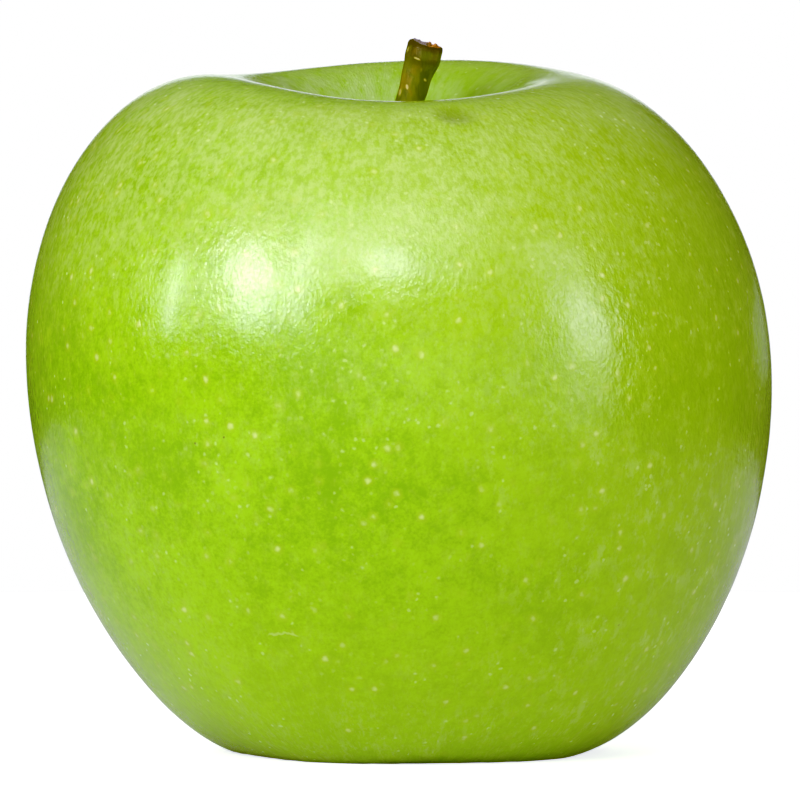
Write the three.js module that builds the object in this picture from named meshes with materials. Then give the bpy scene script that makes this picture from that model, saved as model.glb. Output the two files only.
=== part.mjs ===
// A green cooking apple, as picked: one whole fruit with its stem, and the dried
// remains of the flower in the basin underneath.
//
// Millimetres, +Z up. The fruit stands on the resting plane z = 0 and the origin is
// the middle of the box's underside. +X is to the right and -Y is the front.

import * as THREE from "three";
import { mergeVertices } from "three/addons/utils/BufferGeometryUtils.js";

// ---------------------------------------------------------------------------
// Driving dimensions
// ---------------------------------------------------------------------------

// Fruit, measured on its turned outline
const fruitRadius = 38; // widest ring
const widestHeight = 39.7; // resting plane to the widest ring
const crestHeight = 69.5; // resting plane to the crest of the shoulder
const crestRadius = 17.9; // the crest's ring around the stem cavity
const footRadius = 16.2; // the ring of feet around the calyx basin
const cavityDepth = 12.6; // crest down to the cavity's floor
const basinDepth = 7; // resting plane up to the basin's floor

// How full each stretch of the outline is: the length of a curve's handle as a share of
// the distance that it runs along
const cavityFloorFullness = 0.16;
const cavityLipFullness = 0.56;
const shoulderFullness = 0.53;
const upperSideFullness = 0.54;
const lowerSideFullness = 0.585;
const heelFullness = 0.34;
const basinLipFullness = 0.5;
const basinWallFullness = 0.4;

// Uneven growth: waves around the axis, each with its count, the side it peaks on in
// degrees from +X, and its height
const shoulderWaves = [
  { count: 1, peak: 90, height: 1.45 },
  { count: 2, peak: 27, height: 0.53 },
  { count: 3, peak: 83, height: 0.28 },
];
const sideWaves = [
  { count: 2, peak: 0, height: 0.26 },
  { count: 3, peak: 0, height: 0.19 },
];
const footWaves = [{ count: 5, peak: -116, height: 0.42 }];
const footFlattening = 0.3; // the feet's depth that is lost to the flat resting spots
const axisLean = -0.039; // sideways shift along X for each millimetre of height

// Stem
const stemWaistRadius = 1.38;
const stemBaseRadius = 1.6;
const stemTipRadius = 1.85;
const stemLength = 17.4; // height of the tip's middle above the base
const stemTipSlant = 0.3; // how much further the broken end reaches on its left edge
const stemReach = 3.7; // how far the tip lies to the right of the base
const stemWaist = [0.25, 0.7]; // where the waist starts and ends, as shares of the length
const stemUpright = 0.4; // share of the length that pulls straight up out of the socket
const stemBow = [0.6, 0.7]; // shares of the reach and of the length where the bend eases
const stemSlantStart = 6; // power that keeps the slant to the last of the length
const stemSocketDepth = 1.5;
const stemClearance = 0.3;

// Dried flower
const sepalCount = 5;
const sepalRingRadius = 2.45; // the calyx axis to the middle of a sepal's base
const sepalSplay = 1.65; // how far a tip turns out past its base
const sepalRecess = 0.9; // resting plane up to the sepals' tips
const sepalThickness = 0.5;
const sepalTipWidth = 0.5;
const sepalTaper = 1.6; // over 1, the strip keeps its width near the base
const sepalThroat = [0.4, 0.8]; // where the throat starts and ends, as shares of the length
const sepalSpacing = 0.5; // between two neighbours at their bases
const sepalToStamens = 0.6; // clearance where the sepals close in
const basinFloorMargin = 0.9; // flat floor around the sepals' bases
const stamenTuftRadius = 0.95;
const stamenTuftLength = 3.3;
const stamenTuftWidths = { seat: 0.8, belly: 1, end: 0.75 }; // shares of the radius
const stamenTuftDrops = { belly: 0.7, end: 0.94 }; // shares of the length
const stamenCount = 12;
const stamenRidge = 0.14; // how far each stamen stands out of the bundle
const calyxClearance = 0.3; // sepals and stamens to the basin's floor

// Fineness
const fruitSides = 60;
const stretchSteps = { cavity: 11, shoulder: 10, lowerSide: 11, basin: 9 };
const stemSides = 16;
const stemSteps = 14;
const sepalSteps = { across: 4, along: 8 };
const stepsPerStamen = 4;
const weldDistance = 1e-4;

// ---------------------------------------------------------------------------
// Materials
// ---------------------------------------------------------------------------

const skin = new THREE.MeshStandardMaterial({ color: 0x9cc61f, roughness: 0.35, metalness: 0 });
const bark = new THREE.MeshStandardMaterial({ color: 0x77692f, roughness: 0.8, metalness: 0 });
const driedSepal = new THREE.MeshStandardMaterial({
  color: 0x6f6a48,
  roughness: 0.95,
  metalness: 0,
});
const driedStamen = new THREE.MeshStandardMaterial({
  color: 0x4a3722,
  roughness: 0.95,
  metalness: 0,
});

// ---------------------------------------------------------------------------
// Shared geometry
// ---------------------------------------------------------------------------

const { smoothstep } = THREE.MathUtils;
const degree = Math.PI / 180;

/** Height of a set of waves at an angle around the axis. */
function waveAt(waves, angle) {
  return waves.reduce(
    (sum, wave) => sum + wave.height * Math.cos(wave.count * (angle - wave.peak * degree)),
    0,
  );
}

/** Sideways place of the fruit's axis at a height above the resting plane. */
function axisX(height) {
  return axisLean * (height - widestHeight);
}

/** Turns an outline of (radius, height) points about the +Z axis. */
function turned(outline, sides) {
  return new THREE.LatheGeometry(outline, sides).rotateX(Math.PI / 2);
}

/** Moves every vertex of a geometry through a function that changes a Vector3. */
function reshape(geometry, move) {
  const position = geometry.getAttribute("position");
  const vertex = new THREE.Vector3();
  for (let i = 0; i < position.count; i += 1) {
    vertex.fromBufferAttribute(position, i);
    move(vertex);
    position.setXYZ(i, vertex.x, vertex.y, vertex.z);
  }
  return geometry;
}

/** Joins coincident vertices and drops the slivers that meet at a pole. */
function closed(geometry) {
  geometry.deleteAttribute("normal");
  geometry.deleteAttribute("uv");
  const merged = mergeVertices(geometry, weldDistance);
  const corners = merged.getIndex().array;
  const kept = [];
  for (let i = 0; i < corners.length; i += 3) {
    const [a, b, c] = corners.slice(i, i + 3);
    if (a !== b && b !== c && c !== a) kept.push(a, b, c);
  }
  merged.setIndex(kept);
  merged.computeVertexNormals();
  return merged;
}

/** A named part with its finish. */
function part(name, geometry, material) {
  const mesh = new THREE.Mesh(closed(geometry), material);
  mesh.name = name;
  return mesh;
}

// ---------------------------------------------------------------------------
// Fruit
// ---------------------------------------------------------------------------

const cavityFloor = crestHeight - cavityDepth;
const basinFloorRadius = sepalRingRadius + sepalThickness / 2 + basinFloorMargin;
const socketRadius = stemBaseRadius + stemClearance;
const socketFloor = cavityFloor - stemSocketDepth;

/** One stretch of the outline: a curve that leaves and arrives along its own handles. */
function stretch(from, leave, arrive, to, steps) {
  const start = new THREE.Vector2(...from);
  const end = new THREE.Vector2(...to);
  const startHandle = start.clone().add(new THREE.Vector2(...leave));
  const endHandle = end.clone().add(new THREE.Vector2(...arrive));
  return new THREE.CubicBezierCurve(start, startHandle, endHandle, end).getPoints(steps);
}

/** The fruit's outline from the basin's floor, round the outside, into the stem's socket. */
function fruitOutline() {
  const shoulderWidth = fruitRadius - crestRadius;
  const shoulderDrop = crestHeight - widestHeight;
  const heelWidth = fruitRadius - footRadius;
  const basinWidth = footRadius - basinFloorRadius;
  const cavityWidth = crestRadius - socketRadius;
  const basin = stretch(
    [basinFloorRadius, basinDepth],
    [basinWidth * basinWallFullness, 0],
    [-basinWidth * basinLipFullness, 0],
    [footRadius, 0],
    stretchSteps.basin,
  );
  const lowerSide = stretch(
    [footRadius, 0],
    [heelWidth * heelFullness, 0],
    [0, -widestHeight * lowerSideFullness],
    [fruitRadius, widestHeight],
    stretchSteps.lowerSide,
  );
  const shoulder = stretch(
    [fruitRadius, widestHeight],
    [0, shoulderDrop * upperSideFullness],
    [shoulderWidth * shoulderFullness, 0],
    [crestRadius, crestHeight],
    stretchSteps.shoulder,
  );
  const cavity = stretch(
    [crestRadius, crestHeight],
    [-cavityWidth * cavityLipFullness, 0],
    [cavityWidth * cavityFloorFullness, 0],
    [socketRadius, cavityFloor],
    stretchSteps.cavity,
  );
  return [
    new THREE.Vector2(0, basinDepth),
    ...basin,
    ...lowerSide.slice(1),
    ...shoulder.slice(1),
    ...cavity.slice(1),
    new THREE.Vector2(socketRadius, socketFloor),
    new THREE.Vector2(0, socketFloor),
  ];
}

/** Gives a turned fruit its lobes, its feet and its lean. */
function growUnevenly(vertex) {
  const angle = Math.atan2(vertex.y, vertex.x);
  const radius = Math.hypot(vertex.x, vertex.y);
  const nearCrest = smoothstep(vertex.z, widestHeight, crestHeight)
    * smoothstep(radius, socketRadius, crestRadius);
  const nearFeet = smoothstep(widestHeight - vertex.z, 0, widestHeight)
    * smoothstep(radius, basinFloorRadius, footRadius);
  const nearSide = smoothstep(radius, socketRadius, fruitRadius);
  const wider = 1 + (waveAt(sideWaves, angle) / fruitRadius) * nearSide;
  const grown = vertex.z
    + waveAt(shoulderWaves, angle) * nearCrest
    - waveAt(footWaves, angle) * nearFeet;
  vertex.x = vertex.x * wider + axisX(grown);
  vertex.y *= wider;
  vertex.z = Math.max(grown - footFlattening, 0);
}

function buildFruit() {
  const geometry = turned(fruitOutline(), fruitSides);
  return part("fruit", reshape(geometry, growUnevenly), skin);
}

// ---------------------------------------------------------------------------
// Stem
// ---------------------------------------------------------------------------

/** The stem's outline: a thicker foot, a waist, and a flared broken end. */
function stemOutline() {
  const profile = new THREE.CubicBezierCurve(
    new THREE.Vector2(stemBaseRadius, 0),
    new THREE.Vector2(stemWaistRadius, stemLength * stemWaist[0]),
    new THREE.Vector2(stemWaistRadius, stemLength * stemWaist[1]),
    new THREE.Vector2(stemTipRadius, stemLength),
  );
  return [
    new THREE.Vector2(0, 0),
    ...profile.getPoints(stemSteps),
    new THREE.Vector2(0, stemLength),
  ];
}

/** The stem's middle line, upright in its socket and bending to the right above it. */
function stemPath() {
  const seat = socketFloor + stemClearance - footFlattening;
  const base = new THREE.Vector3(axisX(socketFloor), 0, seat);
  const from = (reach, rise) => base.clone().add(new THREE.Vector3(reach, 0, rise));
  return new THREE.CubicBezierCurve3(
    base,
    from(0, stemLength * stemUpright),
    from(stemReach * stemBow[0], stemLength * stemBow[1]),
    from(stemReach, stemLength),
  );
}

function buildStem() {
  const path = stemPath();
  const upright = new THREE.Vector3(0, 0, 1);
  const turn = new THREE.Quaternion();
  const slant = stemTipSlant / (2 * stemTipRadius);
  const bend = (vertex) => {
    const along = vertex.z / stemLength;
    const rise = -vertex.x * slant * along ** stemSlantStart;
    const across = new THREE.Vector3(vertex.x, vertex.y, rise);
    turn.setFromUnitVectors(upright, path.getTangent(along));
    vertex.copy(path.getPoint(along)).add(across.applyQuaternion(turn));
  };
  return part("stem", reshape(turned(stemOutline(), stemSides), bend), bark);
}

// ---------------------------------------------------------------------------
// Dried flower
// ---------------------------------------------------------------------------

const calyxSeat = basinDepth - footFlattening - calyxClearance;
const calyxX = axisX(basinDepth);
const sepalLength = calyxSeat - sepalRecess;
const sepalThroatRadius = stamenTuftRadius + stamenRidge + sepalToStamens + sepalThickness / 2;

/**
 * One sepal: a tapering strip that stands down from the basin's floor, closes in on the
 * stamens and turns out again at its tip.
 */
function buildSepal(index) {
  const baseWidth = (2 * Math.PI * sepalRingRadius) / sepalCount - sepalSpacing;
  const facing = (index * 2 * Math.PI) / sepalCount;
  const spine = new THREE.CubicBezierCurve(
    new THREE.Vector2(sepalRingRadius, 0),
    new THREE.Vector2(sepalThroatRadius, sepalLength * sepalThroat[0]),
    new THREE.Vector2(sepalThroatRadius, sepalLength * sepalThroat[1]),
    new THREE.Vector2(sepalRingRadius + sepalSplay, sepalLength),
  );
  const strip = new THREE.BoxGeometry(1, 1, 1, sepalSteps.across, 1, sepalSteps.along);
  const bend = (vertex) => {
    const along = vertex.z + 0.5;
    const width = THREE.MathUtils.lerp(baseWidth, sepalTipWidth, along ** sepalTaper);
    const place = spine.getPoint(along);
    const slope = spine.getTangent(along);
    const proud = vertex.y * sepalThickness;
    const radius = place.x + proud * slope.y;
    const drop = place.y - proud * slope.x * along;
    // wrapped round the calyx axis, so the strip is hollow as a petal is
    const angle = facing + (vertex.x * width) / place.x;
    vertex.set(
      calyxX + radius * Math.cos(angle),
      radius * Math.sin(angle),
      calyxSeat - drop,
    );
  };
  return part(`sepal_${index + 1}`, reshape(strip, bend), driedSepal);
}

/** The withered stamens as one ribbed bundle. */
function buildStamenTuft() {
  const { seat, belly, end } = stamenTuftWidths;
  const drops = stamenTuftDrops;
  const outline = [
    new THREE.Vector2(0, -stamenTuftLength),
    new THREE.Vector2(stamenTuftRadius * end, -stamenTuftLength * drops.end),
    new THREE.Vector2(stamenTuftRadius * belly, -stamenTuftLength * drops.belly),
    new THREE.Vector2(stamenTuftRadius * seat, 0),
    new THREE.Vector2(0, 0),
  ];
  const ridges = (vertex) => {
    const angle = Math.atan2(vertex.y, vertex.x);
    const scale = 1 + (stamenRidge / stamenTuftRadius) * Math.cos(stamenCount * angle);
    vertex.set(vertex.x * scale + calyxX, vertex.y * scale, vertex.z + calyxSeat);
  };
  const geometry = reshape(turned(outline, stamenCount * stepsPerStamen), ridges);
  return part("stamen_tuft", geometry, driedStamen);
}

// ---------------------------------------------------------------------------
// Apple
// ---------------------------------------------------------------------------

const apple = new THREE.Group();
apple.name = "apple";
apple.add(buildFruit(), buildStem());
for (let index = 0; index < sepalCount; index += 1) {
  apple.add(buildSepal(index));
}
apple.add(buildStamenTuft());

// The origin goes to the middle of the box's underside.
const box = new THREE.Box3().setFromObject(apple, true);
const middle = box.getCenter(new THREE.Vector3());
apple.position.set(-middle.x, -middle.y, -box.min.z);
apple.updateMatrixWorld(true);

export default apple;
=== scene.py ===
"""A whole green apple with its stem and its dried flower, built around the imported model.

Lengths in the dataclasses are in millimetres and become metres where geometry is made.
+Z is up, +X is to the right and -Y is the front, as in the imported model.
"""

from __future__ import annotations

import logging
import math
import random
from collections.abc import Callable
from dataclasses import dataclass, field, fields
from enum import Enum
from typing import NamedTuple

import bpy
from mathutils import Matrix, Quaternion, Vector, noise
from mathutils.geometry import interpolate_bezier


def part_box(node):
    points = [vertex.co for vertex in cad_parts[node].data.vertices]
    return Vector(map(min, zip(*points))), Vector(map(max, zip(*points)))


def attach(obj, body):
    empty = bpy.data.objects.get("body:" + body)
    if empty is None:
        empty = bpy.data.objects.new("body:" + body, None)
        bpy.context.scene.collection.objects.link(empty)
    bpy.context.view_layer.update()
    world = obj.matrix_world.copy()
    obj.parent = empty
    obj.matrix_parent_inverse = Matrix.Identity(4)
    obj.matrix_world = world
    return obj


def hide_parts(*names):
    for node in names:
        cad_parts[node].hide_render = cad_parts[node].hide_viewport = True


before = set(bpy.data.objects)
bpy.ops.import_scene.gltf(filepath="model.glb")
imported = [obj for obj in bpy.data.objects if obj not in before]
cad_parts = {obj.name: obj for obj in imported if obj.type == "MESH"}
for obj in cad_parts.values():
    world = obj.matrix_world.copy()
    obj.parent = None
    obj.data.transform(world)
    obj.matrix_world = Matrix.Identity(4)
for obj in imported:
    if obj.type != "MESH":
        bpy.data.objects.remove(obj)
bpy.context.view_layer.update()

MM = 0.001
BODY = "root"
# The skin's painted shadow below the stem is centred on this dent too.
DENT_PLACE = (5.9, -22.3, 66.6)  # the middle of the shoulder's small dent
DENT_REACH = 3.0
BLACK = (0.0, 0.0, 0.0)
WHITE = (1.0, 1.0, 1.0)
SOFT_PINK = (1.0, 0.925, 0.98)
LOG = logging.getLogger("apple")

Colour = tuple[float, float, float]
Value = "float | tuple | Wire"


class Slot(Enum):
    """Names of the material slots."""

    SKIN = "skin"
    BARK = "stem_bark"
    SEPAL = "dried_sepal"
    STAMEN = "dried_stamen"


class Trait(Enum):
    """Names of the attributes that a piece's material reads."""

    GROWTH = "growth"
    OUTLINE = "outline"
    LENGTH = "along"


# --- Node expressions ---


def _operator(operation: str, swapped: bool = False) -> Callable[[Wire, Value], Wire]:
    """Makes the method of one operator.

    Args:
        operation: The Math or Vector Math operation.
        swapped: Whether the wire is the operand on the right.

    Returns:
        The method, whose result is a vector if either operand is one.
    """

    def apply(self: Wire, other: Value) -> Wire:
        """Adds the node that works out the operator.

        Args:
            other: The other operand.

        Returns:
            The result.
        """
        left, right = (other, self) if swapped else (self, other)
        wires = [w for w in (left, right) if isinstance(w, Wire)]
        vector = isinstance(other, tuple) or any(w.socket.type == "VECTOR" for w in wires)
        kind = "ShaderNodeVectorMath" if vector else "ShaderNodeMath"
        return self.graph.add(kind, {"operation": operation}, {0: left, 1: right})

    return apply


class Wire:
    """A node's output that can be used in a Python expression."""

    def __init__(self, graph: Graph, socket: bpy.types.NodeSocket) -> None:
        """Wraps one output socket of a node in a graph."""
        self.graph = graph
        self.socket = socket

    __add__ = _operator("ADD")
    __radd__ = _operator("ADD", swapped=True)
    __sub__ = _operator("SUBTRACT")
    __rsub__ = _operator("SUBTRACT", swapped=True)
    __mul__ = _operator("MULTIPLY")
    __rmul__ = _operator("MULTIPLY", swapped=True)
    __truediv__ = _operator("DIVIDE")
    __pow__ = _operator("POWER")


class Graph:
    """Adds nodes to one node tree."""

    def __init__(self, tree: bpy.types.NodeTree) -> None:
        """Starts on an empty tree."""
        self.tree = tree
        tree.nodes.clear()

    def node(
        self,
        kind: str,
        settings: dict[str, object] | None = None,
        inputs: dict[str | int, Value] | None = None,
    ) -> bpy.types.Node:
        """Adds one node.

        Args:
            kind: The node's type.
            settings: Its properties, set first.
            inputs: Values or wires for its sockets, by name or by place.

        Returns:
            The node.
        """
        node = self.tree.nodes.new(kind)
        for name, value in (settings or {}).items():
            setattr(node, name, value)
        for key, value in (inputs or {}).items():
            socket = node.inputs[key] if isinstance(key, int) else self._find(node, key)
            self.connect(value, socket)
        return node

    def add(
        self,
        kind: str,
        settings: dict[str, object] | None = None,
        inputs: dict[str | int, Value] | None = None,
        output: str | None = None,
    ) -> Wire:
        """Adds one node and returns one of its outputs.

        Args:
            kind: The node's type.
            settings: Its properties.
            inputs: Values or wires for its sockets.
            output: The output's name, or None for the first that is in use.

        Returns:
            The output.
        """
        node = self.node(kind, settings, inputs)
        live = [s for s in node.outputs if s.enabled]
        chosen = live[0] if output is None else next(s for s in live if s.name == output)
        return Wire(self, chosen)

    def connect(self, value: Value, socket: bpy.types.NodeSocket) -> None:
        """Links a wire to a socket, or sets the socket's own value.

        Args:
            value: The wire, or the plain value.
            socket: The input socket.
        """
        if isinstance(value, Wire):
            self.tree.links.new(value.socket, socket)
        elif socket.type == "RGBA":
            socket.default_value = (*value, 1.0)
        elif isinstance(value, (int, float)) and socket.type == "VECTOR":
            socket.default_value = (value, value, value)
        else:
            socket.default_value = value

    @staticmethod
    def _find(node: bpy.types.Node, name: str) -> bpy.types.NodeSocket:
        """The input socket in use that has a name."""
        return next(s for s in node.inputs if s.enabled and s.name == name)

    def sine(self, value: Value) -> Wire:
        """Sine of an angle in radians."""
        return self.add("ShaderNodeMath", {"operation": "SINE"}, {0: value})

    def cosine(self, value: Value) -> Wire:
        """Cosine of an angle in radians."""
        return self.add("ShaderNodeMath", {"operation": "COSINE"}, {0: value})

    def maximum(self, left: Value, right: Value) -> Wire:
        """The larger of two numbers."""
        return self.add("ShaderNodeMath", {"operation": "MAXIMUM"}, {0: left, 1: right})

    def clamped(self, value: Value) -> Wire:
        """A number held between 0 and 1."""
        return self.add("ShaderNodeClamp", {}, {"Value": value})

    def length(self, vector: Value) -> Wire:
        """The length of a vector."""
        return self.add("ShaderNodeVectorMath", {"operation": "LENGTH"}, {0: vector})

    def smooth(self, value: Value, low: Value, high: Value) -> Wire:
        """A smooth step from 0 at low to 1 at high.

        Args:
            value: The number that is read.
            low: Where the step starts.
            high: Where it ends.

        Returns:
            The step.
        """
        return self.add(
            "ShaderNodeMapRange",
            {"interpolation_type": "SMOOTHSTEP"},
            {"Value": value, "From Min": low, "From Max": high},
        )

    def vector(self, x: Value, y: Value, z: Value) -> Wire:
        """A vector from three numbers."""
        return self.add("ShaderNodeCombineXYZ", {}, {"X": x, "Y": y, "Z": z})

    def parts(self, vector: Wire) -> tuple[Wire, Wire, Wire]:
        """The three numbers of a vector."""
        node = self.node("ShaderNodeSeparateXYZ", {}, {0: vector})
        return tuple(Wire(self, socket) for socket in node.outputs)

    def scaled(self, vector: Wire, x: float, y: float, z: float) -> Wire:
        """A vector with each of its numbers multiplied."""
        return vector * (x, y, z)

    def mottle(self, vector: Wire, scale: float, detail: float = 2.0, rough: float = 0.5) -> Wire:
        """Noise between 0 and 1.

        Args:
            vector: Where it is read, in metres.
            scale: Features for each metre.
            detail: Octaves.
            rough: How strong the finer octaves are.

        Returns:
            The noise.
        """
        return self.add(
            "ShaderNodeTexNoise",
            {},
            {"Vector": vector, "Scale": scale, "Detail": detail, "Roughness": rough},
        )

    def cells(self, vector: Wire, scale: float) -> tuple[Wire, Wire]:
        """Scattered cells.

        Args:
            vector: Where they are read, in metres.
            scale: Cells for each metre.

        Returns:
            The distance from the nearest cell's middle, in cells, and the cell's own colour.
        """
        inputs = {"Vector": vector, "Scale": scale}
        node = self.node("ShaderNodeTexVoronoi", {"feature": "F1"}, inputs)
        return Wire(self, node.outputs["Distance"]), Wire(self, node.outputs["Color"])

    def principled(self, inputs: dict[str, Value]) -> Wire:
        """A surface shader with some of its inputs set or linked."""
        return self.add("ShaderNodeBsdfPrincipled", {}, inputs)

    def bezier(self, steps: int, start: Wire, leave: Wire, arrive: Wire, end: Wire) -> Wire:
        """A curved segment. Its handles are counted from its ends.

        Args:
            steps: How many steps it is drawn in.
            start: Its first point.
            leave: The handle at its start.
            arrive: The handle at its end.
            end: Its last point.

        Returns:
            The curve.
        """
        handles = {"Start": start, "Start Handle": leave, "End Handle": arrive, "End": end}
        kind = "GeometryNodeCurvePrimitiveBezierSegment"
        return self.add(kind, {"mode": "OFFSET"}, {"Resolution": steps, **handles})

    def chance(self, low: tuple, high: tuple, seed: int) -> Wire:
        """A random vector for each instance."""
        inputs = {"Min": low, "Max": high, "Seed": seed}
        return self.add("FunctionNodeRandomValue", {"data_type": "FLOAT_VECTOR"}, inputs)

    def join(self, *pieces: Wire) -> Wire:
        """Several geometries as one.

        Args:
            pieces: The geometries.

        Returns:
            The joined geometry.
        """
        node = self.node("GeometryNodeJoinGeometry")
        for piece in pieces:
            self.tree.links.new(piece.socket, node.inputs[0])
        return Wire(self, node.outputs[0])

    def tint(self, share: Value, below: Value, above: Value) -> Wire:
        """Mixes two colours.

        Args:
            share: How much of the second colour shows.
            below: The first colour.
            above: The second colour.

        Returns:
            The mixed colour.
        """
        settings = {"data_type": "RGBA", "clamp_factor": True}
        return self.add(
            "ShaderNodeMix", settings, {"Factor": share, "A": below, "B": above}, "Result"
        )

    def attribute(self, trait: Trait, output: str) -> Wire:
        """A material's reading of one of the piece's own attributes."""
        return self.add("ShaderNodeAttribute", {"attribute_name": trait.value}, {}, output)


# --- Finishes ---


class Finish:
    """A procedural material."""

    name = "finish"

    def material(self) -> bpy.types.Material:
        """Builds the material.

        Returns:
            The material.
        """
        material = bpy.data.materials.new(self.name)
        material.use_nodes = True
        graph = Graph(material.node_tree)
        shader = self.shade(graph)
        graph.node("ShaderNodeOutputMaterial", {}, {"Surface": shader})
        return material

    def shade(self, graph: Graph) -> Wire:
        """Adds the finish's nodes and returns its shader."""
        raise NotImplementedError

    @staticmethod
    def place(graph: Graph) -> Wire:
        """Object coordinates."""
        return graph.add("ShaderNodeTexCoord", {}, {}, "Object")

    @staticmethod
    def bumps(graph: Graph, height: Wire, depth: float) -> Wire:
        """A normal from a height between 0 and 1 and its depth in metres."""
        return graph.add("ShaderNodeBump", {}, {"Height": height, "Distance": depth})


class SkinPoint(NamedTuple):
    """Where a point of the skin is, as its material reads it."""

    graph: Graph
    place: Wire  # object coordinates
    growth: Wire  # the way round and the way along the outline
    outline: Wire  # the share of the way along the outline


@dataclass(frozen=True)
class AppleSkin(Finish):
    """Waxy yellow-green skin with mottling, pale flecks and lenticels."""

    name: str = "waxy_green_skin"
    leaf_green: Colour = (0.208, 0.480, 0.008)
    lime_green: Colour = (0.345, 0.685, 0.026)
    # duller, more olive green towards the right and the top
    sunny_green: Colour = (0.330, 0.555, 0.026)
    foot_green: Colour = (0.430, 0.720, 0.060)
    # pale green of the waxy coat, of the painted sheen and of the netting
    bloom_green: Colour = (0.520, 0.740, 0.180)
    pale_fleck: Colour = (0.640, 0.790, 0.240)
    lenticel_core: Colour = (0.700, 0.840, 0.270)
    lenticel_halo: Colour = (0.430, 0.650, 0.060)
    speck_brown: Colour = (0.090, 0.060, 0.020)
    russet: Colour = (0.270, 0.190, 0.055)
    # pale colour of the cavity walls, shown on their left as painted light
    cavity_green: Colour = (0.500, 0.650, 0.300)
    # colour of the painted shadow on the front shoulder below the stem
    bruise_green: Colour = (0.135, 0.230, 0.012)
    roughness: float = 0.24
    coat: float = 0.45
    coat_roughness: float = 0.14
    ior: float = 1.55
    peel_depth: float = 0.0003
    # The healed scratch: its middle across and up, half its length and its sag.
    scratch: tuple[float, float, float, float] = (-11.6, 14.0, 1.7, 0.35)

    def shade(self, graph: Graph) -> Wire:
        """Adds the skin's nodes.

        Args:
            graph: The material's graph.

        Returns:
            The shader.
        """
        growth = graph.attribute(Trait.GROWTH, "Vector")
        outline = graph.attribute(Trait.OUTLINE, "Fac")
        at = SkinPoint(graph, self.place(graph), growth, outline)
        colour = self._bloom(at, self._ground(at))
        colour, flecks = self._flecks(at, colour)
        colour, spots = self._lenticels(at, colour)
        colour = self._ends(at, colour)
        return graph.principled({
            "Base Color": colour,
            "Roughness": self.roughness + flecks * 0.05,
            "IOR": self.ior,
            "Coat Weight": self.coat,
            "Coat Roughness": self.coat_roughness,
            "Normal": self._peel(at, spots),
        })

    def _ground(self, at: SkinPoint) -> Wire:
        """The skin's ground colour: patches, mottling, a paler foot and a more olive upper right.

        Args:
            at: Where the skin is read.

        Returns:
            The ground colour.
        """
        graph, place, _, _ = at
        patches = graph.mottle(place, 75.0, 3.0, 0.55)
        grain = graph.mottle(place, 1000.0, 4.0, 0.7)
        fine = graph.mottle(place, 3200.0, 2.0, 0.6)
        dapple = graph.mottle(place, 330.0, 3.0, 0.6)
        mixed = patches * 0.30 + dapple * 0.18 + grain * 0.34 + fine * 0.18
        share = graph.smooth(mixed, 0.395, 0.605)
        ground = graph.tint(share, self.leaf_green, self.lime_green)
        x, _, z = graph.parts(place)
        low = 1.0 - graph.smooth(z + patches * 0.012, 0.008, 0.032)
        ground = graph.tint(low * 0.5, ground, self.foot_green)
        # Duller and more olive towards the right and the top.
        olive_side = graph.smooth(x * 0.9 + z * 0.5 + patches * 0.02, 0.018, 0.062)
        return graph.tint(olive_side * 0.75, ground, self.sunny_green)

    def _bloom(self, at: SkinPoint, colour: Wire) -> Wire:
        """The paler upper half: a waxy coat and a painted sheen, broken up by the skin's grain.

        Args:
            at: Where the skin is read.
            colour: The ground colour.

        Returns:
            The colour with its paler upper half, painted sheen and painted shade.
        """
        graph, place, growth, outline = at
        drawn = graph.scaled(growth, 1.0, 1.0, 0.75)
        grain = graph.smooth(graph.mottle(drawn, 1250.0, 4.0, 0.68), 0.40, 0.62)
        clumps = graph.smooth(graph.mottle(place, 240.0, 3.0, 0.6), 0.34, 0.64)
        x, _, _ = graph.parts(place)
        # Paler towards the top: partly the waxy coat, partly a painted sheen.
        upper = graph.smooth(outline, 0.44, 0.70)
        # Less of it where the shoulder turns into the cavity: painted shade.
        upper = upper * (1.0 - graph.smooth(outline, 0.735, 0.785) * 0.85)
        # Less of it towards the right: painted shade on the side away from the main light.
        shade = 1.0 - graph.smooth(x, 0.004, 0.034) * 0.45
        return graph.tint(
            upper * shade * (0.22 + grain * 0.50 + clumps * 0.28), colour, self.bloom_green
        )

    def _flecks(self, at: SkinPoint, colour: Wire) -> tuple[Wire, Wire]:
        """Small pale flecks, drawn out from the stem towards the calyx.

        Args:
            at: Where the skin is read.
            colour: The colour under them.

        Returns:
            The colour with its flecks, and where they are.
        """
        graph, place, growth, outline = at
        drawn = graph.scaled(growth, 1.0, 1.0, 0.55)
        dots = graph.smooth(graph.mottle(drawn, 2300.0, 3.0, 0.6), 0.53, 0.72)
        dash, _ = graph.cells(drawn + graph.mottle(place, 1500.0) * 0.0005, 950.0)
        dashes = 1.0 - graph.smooth(dash, 0.10, 0.30)
        clusters = graph.smooth(graph.mottle(place, 170.0, 3.0, 0.6), 0.38, 0.62)
        foot = 1.0 - graph.smooth(outline, 0.17, 0.27)
        upper = graph.smooth(outline, 0.36, 0.66) * 0.82 + foot * 0.9 + 0.18
        x, _, _ = graph.parts(place)
        right = graph.smooth(x, 0.002, 0.028)
        net = graph.mottle(graph.scaled(growth, 1.0, 1.0, 0.8), 620.0, 4.0, 0.72)
        netted = graph.smooth(net, 0.47, 0.64) * (clusters * 0.6 + 0.4)
        netting = netted * graph.clamped(right * 0.65 + foot * 0.7 + 0.28)
        colour = graph.tint(netting * 0.55, colour, self.bloom_green)
        grit = self._dots(graph, place, 950.0, 0.06, 0.30) * (clusters + 0.25)
        speckle = dots * 0.55 + dashes * clusters * 0.4
        flecks = graph.clamped(speckle * upper + grit * (right * 0.3 + 0.8))
        return graph.tint(flecks * 0.42, colour, self.pale_fleck), flecks

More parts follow.
